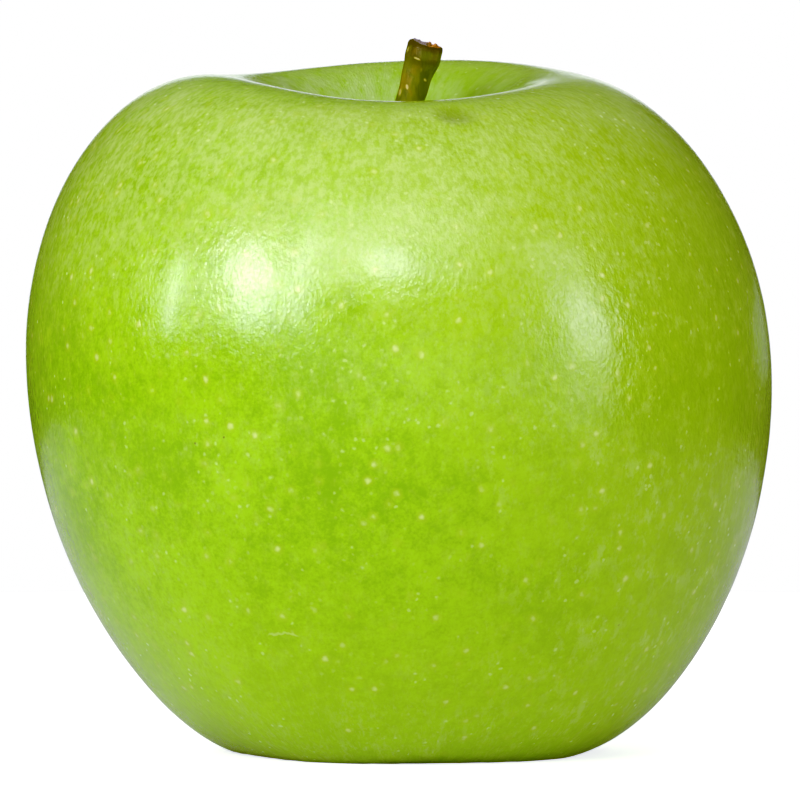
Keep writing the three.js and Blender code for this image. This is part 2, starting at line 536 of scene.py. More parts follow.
    @staticmethod
    def _dots(graph: Graph, place: Wire, scale: float, core: float, edge: float) -> Wire:
        """Round dots scattered in cells, each with its own strength.

        Args:
            graph: The material's graph.
            place: Where they are read, in metres.
            scale: Cells for each metre.
            core: How far out a dot is at its full strength, in cells.
            edge: Where it ends, in cells.

        Returns:
            How strongly the dots show.
        """
        drift = graph.add(
            "ShaderNodeTexNoise", {}, {"Vector": place, "Scale": 1400.0, "Detail": 2.0}, "Color"
        )
        gap, shade = graph.cells(place + (drift - (0.5, 0.5, 0.5)) * 0.0005, scale)
        chance, _, _ = graph.parts(shade)
        return (1.0 - graph.smooth(gap, core, edge)) * graph.smooth(chance, 0.0, 0.75)

    def _lenticels(self, at: SkinPoint, colour: Wire) -> tuple[Wire, Wire]:
        """Round corky pores with a pale core and a faint halo, and a few brown specks.

        Args:
            at: Where the skin is read.
            colour: The colour under them.

        Returns:
            The colour with its pores, and how far each stands out.
        """
        graph, place, _, outline = at
        halo = self._dots(graph, place, 430.0, 0.12, 0.38)
        core = self._dots(graph, place, 430.0, 0.02, 0.19)
        mark = self._dots(graph, place, 120.0, 0.012, 0.022)
        inside = graph.smooth(outline, 0.06, 0.14) * (1.0 - graph.smooth(outline, 0.86, 0.95))
        colour = graph.tint(halo * inside * 0.5, colour, self.lenticel_halo)
        colour = graph.tint(core * inside * 0.76, colour, self.lenticel_core)
        return graph.tint(mark * 0.8, colour, self.speck_brown), core * inside

    def _ends(self, at: SkinPoint, colour: Wire) -> Wire:
        """Cavity walls in painted light and shade, a painted shadow, a scar and russet at both
        ends.

        Args:
            at: Where the skin is read.
            colour: The colour of the open skin.

        Returns:
            The colour with its two ends.
        """
        graph, place, growth, outline = at
        cavity = graph.smooth(outline, 0.775, 0.86)
        walls = graph.smooth(graph.mottle(growth, 330.0, 4.0, 0.65), 0.20, 0.66)
        x, _, _ = graph.parts(place)
        # Paler on the left and darker on the right: painted light and shade on the cavity walls.
        painted_lit_side = 1.0 - graph.smooth(x, -0.012, 0.010) * 0.6
        wall_light_and_shade = graph.tint(walls * painted_lit_side, self.leaf_green, self.cavity_green)
        # The cavity takes this colour: partly the walls' own mottling, partly painted light and
        # shade.
        colour = graph.tint(cavity * 0.7, colour, wall_light_and_shade)
        # A painted shadow on the front shoulder, over its small dent below the stem.
        gap = graph.length(place - tuple(v * MM for v in DENT_PLACE))
        painted_shadow = 1.0 - graph.smooth(gap, 0.0, 1.1 * DENT_REACH * MM)
        colour = graph.tint(painted_shadow * 0.6, colour, self.bruise_green)
        colour = graph.tint(self._scar(graph, place) * 0.5, colour, self.pale_fleck)
        rays = graph.mottle(graph.scaled(growth, 1.0, 1.0, 0.15), 420.0, 3.0, 0.6)
        grit = graph.mottle(place, 1400.0, 3.0, 0.7)
        top = graph.smooth(outline + rays * 0.10 + grit * 0.04, 0.975, 1.06)
        bottom = 1.0 - graph.smooth(outline - rays * 0.06, 0.0, 0.055)
        russet = graph.clamped(top + bottom)
        return graph.tint(russet * 0.85, colour, self.russet)

    def _scar(self, graph: Graph, place: Wire) -> Wire:
        """How strongly the thin healed scratch low on the front shows.

        Args:
            graph: The material's graph.
            place: Object coordinates.

        Returns:
            Its strength, between 0 and 1.
        """
        x, y, z = graph.parts(place)
        centre, up, half, bend = (v * MM for v in self.scratch)
        drift = (graph.mottle(place, 900.0) - 0.5) * 0.0008
        along = (x - centre) / half
        gap = z - up + along * along * bend + drift
        near = 1.0 - graph.smooth(graph.maximum(gap, gap * -1.0), 0.00003, 0.00018)
        ends = 1.0 - graph.smooth(graph.maximum(along, along * -1.0), 0.7, 1.0)
        return near * ends * (1.0 - graph.smooth(y, -0.012, -0.008))

    def _peel(self, at: SkinPoint, spots: Wire) -> Wire:
        """The fine uneven relief of the skin.

        Args:
            at: Where the skin is read.
            spots: How far the pores stand out.

        Returns:
            The normal.
        """
        graph, place, growth, _ = at
        swells = graph.mottle(place, 430.0, 1.0, 0.5)
        wrinkles = graph.mottle(graph.scaled(growth, 1.0, 1.0, 0.7), 2100.0, 2.0, 0.5)
        pits = graph.mottle(place, 3400.0, 1.0, 0.5)
        height = swells * 0.30 + wrinkles * 0.25 + pits * 0.06 + spots * 0.06
        return self.bumps(graph, height, self.peel_depth)


@dataclass(frozen=True)
class StemBark(Finish):
    """Olive bark with brown edges, pale pores and a torn reddish end."""

    name: str = "olive_stem_bark"
    olive: Colour = (0.165, 0.180, 0.002)
    moss: Colour = (0.090, 0.115, 0.002)
    umber: Colour = (0.055, 0.034, 0.003)
    amber: Colour = (0.330, 0.190, 0.012)
    pore: Colour = (0.640, 0.560, 0.200)
    torn: Colour = (0.330, 0.095, 0.022)
    torn_edge: Colour = (0.520, 0.230, 0.080)
    # grey-purple painted sheen on the left of the broken end
    bloom: Colour = (0.270, 0.220, 0.240)
    roughness: float = 0.42
    ior: float = 1.38
    relief_depth: float = 0.0003
    tip_across: float = 0.0026
    # The front's broad pores: the middle across and up, half the width and half the height.
    pores: tuple[tuple[float, float, float, float], ...] = (
        (1.87, 71.2, 0.36, 0.14), (2.70, 69.0, 0.16, 0.17), (0.84, 68.3, 0.17, 0.30)
    )

    def shade(self, graph: Graph) -> Wire:
        """Adds the bark's nodes.

        Args:
            graph: The material's graph.

        Returns:
            The shader.
        """
        place = self.place(graph)
        along = graph.attribute(Trait.LENGTH, "Fac")
        drawn = graph.scaled(place, 1.0, 1.0, 0.25)
        streaks = graph.mottle(drawn, 1100.0, 4.0, 0.6)
        blotches = graph.mottle(place, 520.0, 3.0, 0.6)
        colour = graph.tint(graph.smooth(streaks, 0.44, 0.60), self.olive, self.moss)
        high = graph.smooth(along, 0.74, 0.90)
        colour = graph.tint(high * graph.smooth(blotches, 0.30, 0.56) * 0.8, colour, self.umber)
        low = 1.0 - graph.smooth(along, 0.60, 0.85)
        rust = graph.smooth(blotches, 0.54, 0.68) * (low * 0.35 + 0.2)
        colour = graph.tint(rust, colour, self.amber)
        pores = self._pores(graph, place)
        colour = graph.tint(pores * 0.85, colour, self.pore)
        rim = graph.smooth(along, 0.925, 0.955)
        colour = graph.tint(rim * 0.9, colour, self.umber)
        colour = self._torn_end(graph, colour, place, along)
        fibres = graph.mottle(place, 2600.0, 3.0, 0.7)
        height = streaks * 0.5 + blotches * 0.3 + pores * 0.15 + fibres * 0.1
        return graph.principled({
            "Base Color": colour,
            "Roughness": self.roughness + graph.smooth(along, 0.978, 0.99) * 0.35,
            "IOR": self.ior,
            "Normal": self.bumps(graph, height, self.relief_depth),
        })

    def _torn_end(self, graph: Graph, colour: Wire, place: Wire, along: Wire) -> Wire:
        """The broken end: a grey painted sheen on one side and torn reddish fibres on the other.

        Args:
            graph: The material's graph.
            colour: The bark's colour.
            place: Object coordinates.
            along: The share of the stem's length.

        Returns:
            The colour with its broken end.
        """
        x, _, _ = graph.parts(place)
        fibres = graph.mottle(place, 2400.0, 3.0, 0.7)
        broken = graph.tint(graph.smooth(fibres, 0.40, 0.62), self.torn, self.torn_edge)
        side = graph.smooth(x + (fibres - 0.5) * 0.002, self.tip_across, self.tip_across + 0.0009)
        # The left of the broken face is a painted sheen, the right torn fibres.
        face = graph.tint(side, self.bloom, broken)
        pith = graph.smooth(graph.mottle(place, 900.0, 2.0), 0.50, 0.62)
        face = graph.tint(pith * 0.7, face, self.umber)
        return graph.tint(graph.smooth(along, 0.975, 0.985), colour, face)

    def _pores(self, graph: Graph, place: Wire) -> Wire:
        """Pale pores: a few broad ones on the front and small ones all round.

        Args:
            graph: The material's graph.
            place: Object coordinates.

        Returns:
            How strongly the pores show.
        """
        cell, _ = graph.cells(graph.scaled(place, 1.0, 1.0, 0.6), 520.0)
        spread: Value = (1.0 - graph.smooth(cell, 0.06, 0.16)) * 0.6
        x, y, z = graph.parts(place)
        front = 1.0 - graph.smooth(y, -0.0010, -0.0004)
        for across, up, wide, tall in self.pores:
            dx = (x - across * MM) / (wide * MM)
            dz = (z - up * MM + (x - across * MM) * 0.4) / (tall * MM)
            gap = (dx * dx + dz * dz) ** 0.5
            spread = graph.maximum(spread, (1.0 - graph.smooth(gap, 0.55, 1.15)) * front)
        return spread


@dataclass(frozen=True)
class DriedDown(Finish):
    """The dry brown-grey tissue of a withered flower."""

    name: str = "dried_flower"
    dark: Colour = (0.075, 0.050, 0.018)
    light: Colour = (0.300, 0.270, 0.140)
    roughness: float = 0.9
    relief_depth: float = 0.00012

    def shade(self, graph: Graph) -> Wire:
        """Adds the tissue's nodes.

        Args:
            graph: The material's graph.

        Returns:
            The shader.
        """
        place = self.place(graph)
        veins = graph.mottle(graph.scaled(place, 1.0, 1.0, 0.2), 1900.0, 3.0, 0.6)
        patches = graph.mottle(place, 600.0, 3.0, 0.6)
        share = graph.smooth(veins * 0.5 + patches * 0.5, 0.36, 0.64)
        return graph.principled({
            "Base Color": graph.tint(share, self.dark, self.light),
            "Roughness": self.roughness,
            "Normal": self.bumps(graph, veins, self.relief_depth),
        })


@dataclass(frozen=True)
class WhiteTable(Finish):
    """A pale matt table top."""

    name: str = "pale_table"
    pale: Colour = (0.75, 0.75, 0.74)
    paler: Colour = (0.78, 0.78, 0.77)
    dim: Colour = (0.60, 0.60, 0.59)
    roughness: float = 0.7
    sheen: float = 0.1
    glow: float = 0.74

    def shade(self, graph: Graph) -> Wire:
        """Adds the table's nodes.

        Args:
            graph: The material's graph.

        Returns:
            The shader.
        """
        cloud = graph.mottle(self.place(graph), 14.0, 2.0)
        seen = graph.add("ShaderNodeLightPath", {}, {}, "Is Camera Ray")
        mirrored = graph.add("ShaderNodeLightPath", {}, {}, "Is Glossy Ray")
        colour = graph.tint(cloud, self.pale, self.paler)
        colour = graph.tint(mirrored, colour, self.dim)
        return graph.principled({
            "Base Color": colour,
            "Roughness": self.roughness,
            "Specular IOR Level": self.sheen,
            "Emission Color": graph.tint(seen, BLACK, WHITE),
            "Emission Strength": self.glow,
        })


# --- Geometry Nodes pieces ---


def words(name: str) -> str:
    """A field's name as a socket's name."""
    return name.replace("_", " ").title()


def put(name: str, data: bpy.types.ID) -> bpy.types.Object:
    """Puts a new object that holds some data in the scene.

    Args:
        name: Its name.
        data: The mesh, light or camera that it holds.

    Returns:
        The object.
    """
    thing = bpy.data.objects.new(name, data)
    bpy.context.scene.collection.objects.link(thing)
    return thing


class GrownPiece:
    """A piece whose mesh a Geometry Nodes tree makes from named sizes."""

    def __init__(self, name: str, finish: Finish) -> None:
        """Starts a tree with no inputs.

        Args:
            name: The piece's name.
            finish: What it is made of.
        """
        self.name = name
        self.material = finish.material()
        self.tree = bpy.data.node_groups.new(name, "GeometryNodeTree")
        self.graph = Graph(self.tree)
        self.tree.interface.new_socket(
            name="Geometry", in_out="OUTPUT", socket_type="NodeSocketGeometry"
        )
        self.values: dict[str, float] = {}
        self.entry = self.graph.node("NodeGroupInput")

    def size(self, name: str, value: float) -> Wire:
        """Adds a named input and returns it for use in the tree.

        Args:
            name: The input's name.
            value: What it is set to.

        Returns:
            The input.
        """
        kind = "NodeSocketInt" if isinstance(value, int) else "NodeSocketFloat"
        socket = self.tree.interface.new_socket(name=name, in_out="INPUT", socket_type=kind)
        self.values[socket.identifier] = value
        return Wire(self.graph, self.entry.outputs[name])

    def realise(self, geometry: Wire) -> bpy.types.Object:
        """Ends the tree, evaluates it and keeps the result as a plain mesh.

        Args:
            geometry: The tree's finished geometry.

        Returns:
            The piece, at the origin, with no modifier.
        """
        graph = self.graph
        real = graph.add("GeometryNodeRealizeInstances", {}, {"Geometry": geometry})
        real = graph.add("GeometryNodeSetShadeSmooth", {}, {"Geometry": real})
        dressed = {"Geometry": real, "Material": self.material}
        graph.node("NodeGroupOutput", {}, {0: graph.add("GeometryNodeSetMaterial", {}, dressed)})
        carrier = put(self.name, bpy.data.meshes.new(self.name + "_seed"))
        modifier = carrier.modifiers.new("grow", "NODES")
        modifier.node_group = self.tree
        for identifier, value in self.values.items():
            modifier[identifier] = value
        evaluated = carrier.evaluated_get(bpy.context.evaluated_depsgraph_get())
        mesh = bpy.data.meshes.new_from_object(evaluated)
        mesh.name = self.name
        carrier.modifiers.clear()
        carrier.data = mesh
        if not mesh.materials:
            mesh.materials.append(self.material)
        return carrier


# --- Fruit ---


@dataclass(frozen=True)
class Wave:
    """One wave around the axis."""

    count: int
    peak: float
    height: float


@dataclass
class FruitSizes:
    """The fruit's driving sizes, in millimetres."""

    fruit_radius: float = 38.0
    widest_height: float = 39.7
    crest_height: float = 69.5
    crest_radius: float = 17.9
    foot_radius: float = 16.2
    cavity_depth: float = 12.6
    basin_depth: float = 7.0
    basin_floor_radius: float = 3.6
    socket_radius: float = 1.9
    calyx_tube_depth: float = 1.2
    foot_flattening: float = 0.3
    undulation: float = 0.30
    ripple: float = 0.030
    pleat: float = 0.22
    dent: float = 0.42


@dataclass
class Fruit:
    """The fruit: a turned outline with uneven growth."""

    sizes: FruitSizes = field(default_factory=FruitSizes)
    axis_lean: float = -0.039
    shoulder_waves: tuple[Wave, ...] = (Wave(1, 90, 1.45), Wave(2, 27, 0.53), Wave(3, 83, 0.28))
    side_waves: tuple[Wave, ...] = (Wave(2, 0, 0.26), Wave(3, 0, 0.19))
    foot_waves: tuple[Wave, ...] = (Wave(5, -116, 0.20),)
    sides: int = 372
    rings: int = 250
    curve_steps: int = 96

    def build(self) -> bpy.types.Object:
        """Grows the fruit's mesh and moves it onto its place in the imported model.

        Returns:
            The skin.
        """
        piece = GrownPiece("apple_skin", AppleSkin())
        graph = piece.graph
        size = {f.name: piece.size(words(f.name), getattr(self.sizes, f.name) * MM)
                for f in fields(self.sizes)}
        sides = piece.size("Sides", self.sides)
        rings = piece.size("Rings", self.rings)
        grid = graph.add(
            "GeometryNodeMeshGrid",
            {},
            {"Size X": 1.0, "Size Y": 1.0, "Vertices X": sides, "Vertices Y": rings},
            "Mesh",
        )
        across, up, _ = graph.parts(graph.add("GeometryNodeInputPosition") + (0.5, 0.5, 0.0))
        angle = across * (2 * math.pi)
        radius, _, height = graph.parts(self._outline(graph, size, up))
        turned = self._turned(graph, size, angle, radius, height)
        girth = size["fruit_radius"]
        growth = graph.vector(
            graph.cosine(angle) * girth, graph.sine(angle) * girth, up * self._outline_length()
        )
        kept = self._keep(graph, grid, Trait.GROWTH, growth, "FLOAT_VECTOR")
        kept = self._keep(graph, kept, Trait.OUTLINE, up, "FLOAT")
        shaped = graph.add("GeometryNodeSetPosition", {}, {"Geometry": kept, "Position": turned})
        shaped = graph.add(
            "GeometryNodeMergeByDistance", {}, {"Geometry": shaped, "Distance": 0.002 * MM}
        )
        relief = self._relief(graph, size)
        shaped = graph.add("GeometryNodeSetPosition", {}, {"Geometry": shaped, "Offset": relief})
        shaped = self._flattened(graph, size, shaped)
        skin = piece.realise(shaped)
        self._settle(skin)
        return skin

    @staticmethod
    def _keep(graph: Graph, geometry: Wire, trait: Trait, value: Wire, kind: str) -> Wire:
        """Stores a value on the mesh's points for the material.

        Args:
            graph: The tree's graph.
            geometry: The mesh.
            trait: The attribute.
            value: What is stored.
            kind: Its data type.

        Returns:
            The mesh with its attribute.
        """
        return graph.add(
            "GeometryNodeStoreNamedAttribute",
            {"data_type": kind, "domain": "POINT"},
            {"Geometry": geometry, "Name": trait.value, "Value": value},
        )

    def _outline_length(self) -> float:
        """About how long the outline is, in metres.

        Returns:
            The length.
        """
        s = self.sizes
        quarter = math.pi / 4 * (s.fruit_radius - s.foot_radius + s.widest_height)
        shoulder = math.pi / 4 * (
            s.fruit_radius - s.crest_radius + s.crest_height - s.widest_height
        )
        return (quarter + shoulder + s.foot_radius + s.crest_radius + s.basin_depth) * MM

    @staticmethod
    def _points(graph: Graph, pairs: list[tuple[Value, Value]]) -> list[Wire]:
        """Points or handles on the outline's plane, from radii and heights."""
        return [graph.vector(radius, 0.0, height) for radius, height in pairs]

    def _outline(self, graph: Graph, size: dict[str, Wire], up: Wire) -> Wire:
        """The turned outline, from the basin's floor over the outside to the cavity's.

        Args:
            graph: The tree's graph.
            size: The tree's inputs.
            up: The share of the way along the outline.

        Returns:
            The point (radius, 0, height) at that share.
        """

        wide, mid, top = size["fruit_radius"], size["widest_height"], size["crest_height"]
        crest, foot, floor = size["crest_radius"], size["foot_radius"], size["basin_floor_radius"]
        socket, pit = size["socket_radius"], top - size["cavity_depth"]
        basin, tube = size["basin_depth"], size["calyx_tube_depth"]
        knots = self._points(graph, [
            (0.0, basin + tube),
            (floor, basin),
            (foot, 0.0),
            (wide, mid),
            (crest, top),
            (socket, pit),
            (0.0, pit),
        ])
        leave = self._points(graph, [
            (floor * 0.3, 0.0),
            ((foot - floor) * 0.4, 0.0),
            ((wide - foot) * 0.34, 0.0),
            (0.0, (top - mid) * 0.54),
            ((crest - socket) * -0.56, 0.0),
            (socket * -0.5, 0.0),
        ])
        arrive = self._points(graph, [
            (floor * -0.5, tube * 0.2),
            ((foot - floor) * -0.5, 0.0),
            (0.0, mid * -0.585),
            ((wide - crest) * 0.53, 0.0),
            ((crest - socket) * 0.16, 0.0),
            (socket * 0.3, 0.0),
        ])
        shares = [0.0, 0.03, 0.14, 0.49, 0.79, 0.985, 1.0]
        place = knots[0]
        for i, start in enumerate(knots[:-1]):
            curve = graph.bezier(self.curve_steps, start, leave[i], arrive[i], knots[i + 1])
            share = graph.clamped((up - shares[i]) / (shares[i + 1] - shares[i]))
            reading = {"Curves": curve, "Factor": share}
            sample = graph.add("GeometryNodeSampleCurve", {"mode": "FACTOR"}, reading, "Position")
            place = place + (sample - start)
        return place

    def _wave(self, graph: Graph, waves: tuple[Wave, ...], angle: Wire) -> Wire:
        """The sum of a set of waves at an angle, in metres.

        Args:
            graph: The tree's graph.
            waves: The waves.
            angle: The way round, in radians.

        Returns:
            The sum.
        """
        total: Value = 0.0
        for wave in waves:
            turn = (angle - math.radians(wave.peak)) * wave.count
            total = graph.cosine(turn) * (wave.height * MM) + total
        return total

    def _turned(
        self, graph: Graph, size: dict[str, Wire], angle: Wire, radius: Wire, height: Wire
    ) -> Wire:
        """Turns the outline and gives it its lobes and its lean.

        Args:
            graph: The tree's graph.
            size: The tree's inputs.
            angle: The way round, in radians.
            radius: The outline's radius.
            height: The outline's height.

        Returns:
            The point on the fruit.
        """
        mid, top = size["widest_height"], size["crest_height"]
        socket, floor = size["socket_radius"], size["basin_floor_radius"]
        near_crest = graph.smooth(height, mid, top) * graph.smooth(
            radius, socket, size["crest_radius"]
        )
        near_feet = graph.smooth(mid - height, 0.0, mid) * graph.smooth(
            radius, floor, size["foot_radius"]
        )
        near_side = graph.smooth(radius, socket, size["fruit_radius"])
        wider = self._wave(graph, self.side_waves, angle) / size["fruit_radius"] * near_side + 1.0
        grown = (
            height
            + self._wave(graph, self.shoulder_waves, angle) * near_crest
            - self._wave(graph, self.foot_waves, angle) * near_feet
        )
        lean = (grown - mid) * self.axis_lean
        return graph.vector(
            radius * wider * graph.cosine(angle) + lean, radius * wider * graph.sine(angle), grown
        )

    def _relief(self, graph: Graph, size: dict[str, Wire]) -> Wire:
        """Slight hollows and swellings along the surface's normal.

        Args:
            graph: The tree's graph.
            size: The tree's inputs.

        Returns:
            The offset.
        """
        place = graph.add("GeometryNodeInputPosition")
        normal = graph.add("GeometryNodeInputNormal", {}, {}, "Normal")
        named = {"Name": Trait.OUTLINE.value}
        share = graph.add("GeometryNodeInputNamedAttribute", {"data_type": "FLOAT"}, named)
        x, y, _ = graph.parts(place)
        around = graph.add("ShaderNodeMath", {"operation": "ARCTAN2"}, {0: y, 1: x})
        clear = graph.smooth(share, 0.15, 0.24)
        broad = (graph.mottle(place, 52.0, 1.0) - 0.5) * size["undulation"] * clear
        fine = (graph.mottle(place, 300.0, 1.0) - 0.5) * size["ripple"]
        gap = graph.length(place - tuple(v * MM for v in DENT_PLACE)) / (DENT_REACH * MM)
        dent = (1.0 - graph.smooth(gap, 0.0, 1.0)) * size["dent"]
        basin = graph.smooth(share, 0.02, 0.05) * (1.0 - graph.smooth(share, 0.06, 0.115))
        pleats = graph.cosine(around * 10.0 + graph.mottle(place, 90.0) * 3.0)
        rise = broad + fine - dent + pleats * basin * size["pleat"]
        scale = {"operation": "SCALE"}
        return graph.add("ShaderNodeVectorMath", scale, {0: normal, "Scale": rise})

    def _flattened(self, graph: Graph, size: dict[str, Wire], geometry: Wire) -> Wire:
        """Sinks the fruit by what its feet lose and flattens them on the resting plane.

        Args:
            graph: The tree's graph.
            size: The tree's inputs.
            geometry: The fruit on its round feet.

        Returns:
            The fruit on its flat feet.
        """
        x, y, z = graph.parts(graph.add("GeometryNodeInputPosition"))
        resting = graph.vector(x, y, graph.maximum(z - size["foot_flattening"], 0.0))
        return graph.add(
            "GeometryNodeSetPosition", {}, {"Geometry": geometry, "Position": resting}
        )

    def _settle(self, skin: bpy.types.Object) -> None:
        """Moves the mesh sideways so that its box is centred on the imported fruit's.

        Args:
            skin: The fruit's object.
        """
        low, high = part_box("fruit")
        xs = [v.co.x for v in skin.data.vertices]
        ys = [v.co.y for v in skin.data.vertices]
        shift = Vector((
            (low.x + high.x - min(xs) - max(xs)) / 2, (low.y + high.y - min(ys) - max(ys)) / 2, 0.0
        ))
        for vertex in skin.data.vertices:
            vertex.co += shift


# --- Stem ---


@dataclass
class Stem:
    """The woody stem: bent to the right, waisted, ridged and torn at its tip."""

    length: float = 17.4
    reach: float = 3.7
    bow: tuple[float, float] = (0.6, 0.7)
    upright: float = 0.4
    base_radius: float = 1.6
    waist_radius: float = 1.30
    tip_radius: float = 1.85
    ridge: float = 0.10
    lump: float = 0.22
    collar: float = 0.18
    tear: float = 0.55
    end_round: float = 0.38
    round_start: float = 0.962
    break_slope: float = 0.20
    sides: int = 72
    rings: int = 150
    cap_rings: int = 16

    def build(self) -> bpy.types.Object:
        """Makes the stem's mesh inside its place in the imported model.

        Returns:
            The stem.
        """
        low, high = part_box("stem")
        base = Vector((low.x + self.base_radius * MM, (low.y + high.y) / 2, low.z))
        path = interpolate_bezier(
            base,
            base + Vector((0.0, 0.0, self.length * self.upright * MM)),
            base + Vector((self.reach * self.bow[0], 0.0, self.length * self.bow[1])) * MM,
            base + Vector((self.reach, 0.0, self.length)) * MM,
            self.rings,
        )
        verts: list[Vector] = [path[0]]
        shares: list[float] = [0.0]
        for ring, centre in enumerate(path):
            along = ring / (self.rings - 1)
            turn = self._turn(path, ring)
            for side in range(self.sides):
                angle = 2 * math.pi * side / self.sides
                radius = self._radius(along, angle) * MM
                spoke = Vector((math.cos(angle), math.sin(angle), 0.0)) * radius
                spoke.z = self._break_drop(along, spoke.y)
                verts.append(centre + turn @ spoke)
                shares.append(along * 0.97)
        verts_end, shares_end = self._torn_end(path)
        verts += verts_end
        shares += shares_end
        faces = self._faces(len(verts))
        mesh = bpy.data.meshes.new("stem_bark")
        mesh.from_pydata(verts, [], faces)
        mesh.attributes.new(Trait.LENGTH.value, "FLOAT", "POINT").data.foreach_set("value", shares)
        mesh.shade_smooth()
        mesh.materials.append(StemBark().material())
        return put("stem_bark", mesh)

    def _break_drop(self, along: float, y: float) -> float:
        """How far the broken end slopes down towards the front at a point, in metres."""
        near_end = min(max((along - 0.86) / 0.14, 0.0), 1.0)
        return min(y, 0.0) * self.break_slope * near_end

    @staticmethod
    def _turn(path: list[Vector], ring: int) -> Quaternion:
        """The turn from upright to the path's direction at a ring.

        Args:
            path: The stem's middle line.
            ring: Which of its points.

        Returns:
            The turn.
        """
        before = path[max(ring - 1, 0)]
        after = path[min(ring + 1, len(path) - 1)]
        return Vector((0.0, 0.0, 1.0)).rotation_difference(after - before)

    def _radius(self, along: float, angle: float) -> float:
        """The stem's radius at a share of its length and an angle, in millimetres.

        Args:
            along: The share of the length.
            angle: The way round, in radians.

        Returns:
            The radius.
        """
        rest = 1 - along
        smooth = (
            rest**3 * self.base_radius
            + 3 * rest**2 * along * self.waist_radius
            + 3 * rest * along**2 * self.waist_radius
            + along**3 * self.tip_radius
        )
        place = Vector((math.cos(angle) * 1.6, math.sin(angle) * 1.6, along * 9.0))
        ridges = noise.noise(Vector((place.x * 1.9, place.y * 1.9, along * 2.0)))
        lumps = noise.noise(place * 0.8 + Vector((7.0, 3.0, 1.0)))
        collar = math.exp(-(((along - 0.90) / 0.05) ** 2)) * self.collar
        past = max((along - self.round_start) / (1 - self.round_start), 0.0)
        rounding = self.end_round * (1 - math.sqrt(1 - past**2))
        return smooth + ridges * self.ridge + lumps * self.lump * along + collar - rounding

    def _torn_end(self, path: list[Vector]) -> tuple[list[Vector], list[float]]:
        """The broken end: rings that close on the middle over uneven fibres.

        Args:
            path: The stem's middle line.

        Returns:
            The end's points and their shares of the length.
        """
        turn = self._turn(path, self.rings - 1)
        points: list[Vector] = []
        for ring in range(1, self.cap_rings):
            inward = ring / self.cap_rings
            for side in range(self.sides):
                angle = 2 * math.pi * side / self.sides
                radius = self._radius(1.0, angle) * (1 - inward)
                x, y = math.cos(angle) * radius, math.sin(angle) * radius
                rough = noise.noise(Vector((x * 1.7, y * 1.7, 4.0)))
                splinter = noise.noise(Vector((x * 5.0, y * 5.0, 9.0)))
                lip = math.sin(min(inward * 5.0, 1.0) * math.pi / 2)
                rise = lip * (self.tear * rough + 0.14 * splinter - 0.16 * math.sin(inward * 3.0))
                rise += self._break_drop(1.0, y)
                points.append(path[-1] + turn @ (Vector((x, y, rise)) * MM))
        points.append(path[-1] + turn @ Vector((0.0, 0.0, -0.1 * MM)))
        return points, [1.0] * len(points)

    def _faces(self, count: int) -> list[tuple[int, ...]]:
        """The stem's faces: a fan under the base, bands up the side, a fan on the tip.

        Args:
            count: How many points the stem has.

        Returns:
            The faces.
        """
        bands = self.rings + self.cap_rings - 1
        faces: list[tuple[int, ...]] = []
        for side in range(self.sides):
            ahead = (side + 1) % self.sides
            faces.append((0, 1 + ahead, 1 + side))
            for band in range(bands - 1):
                low = 1 + band * self.sides
                high = low + self.sides
                faces.append((low + side, low + ahead, high + ahead, high + side))
            last = 1 + (bands - 1) * self.sides
            faces.append((last + side, last + ahead, count - 1))
        return faces


# --- Dried flower ---


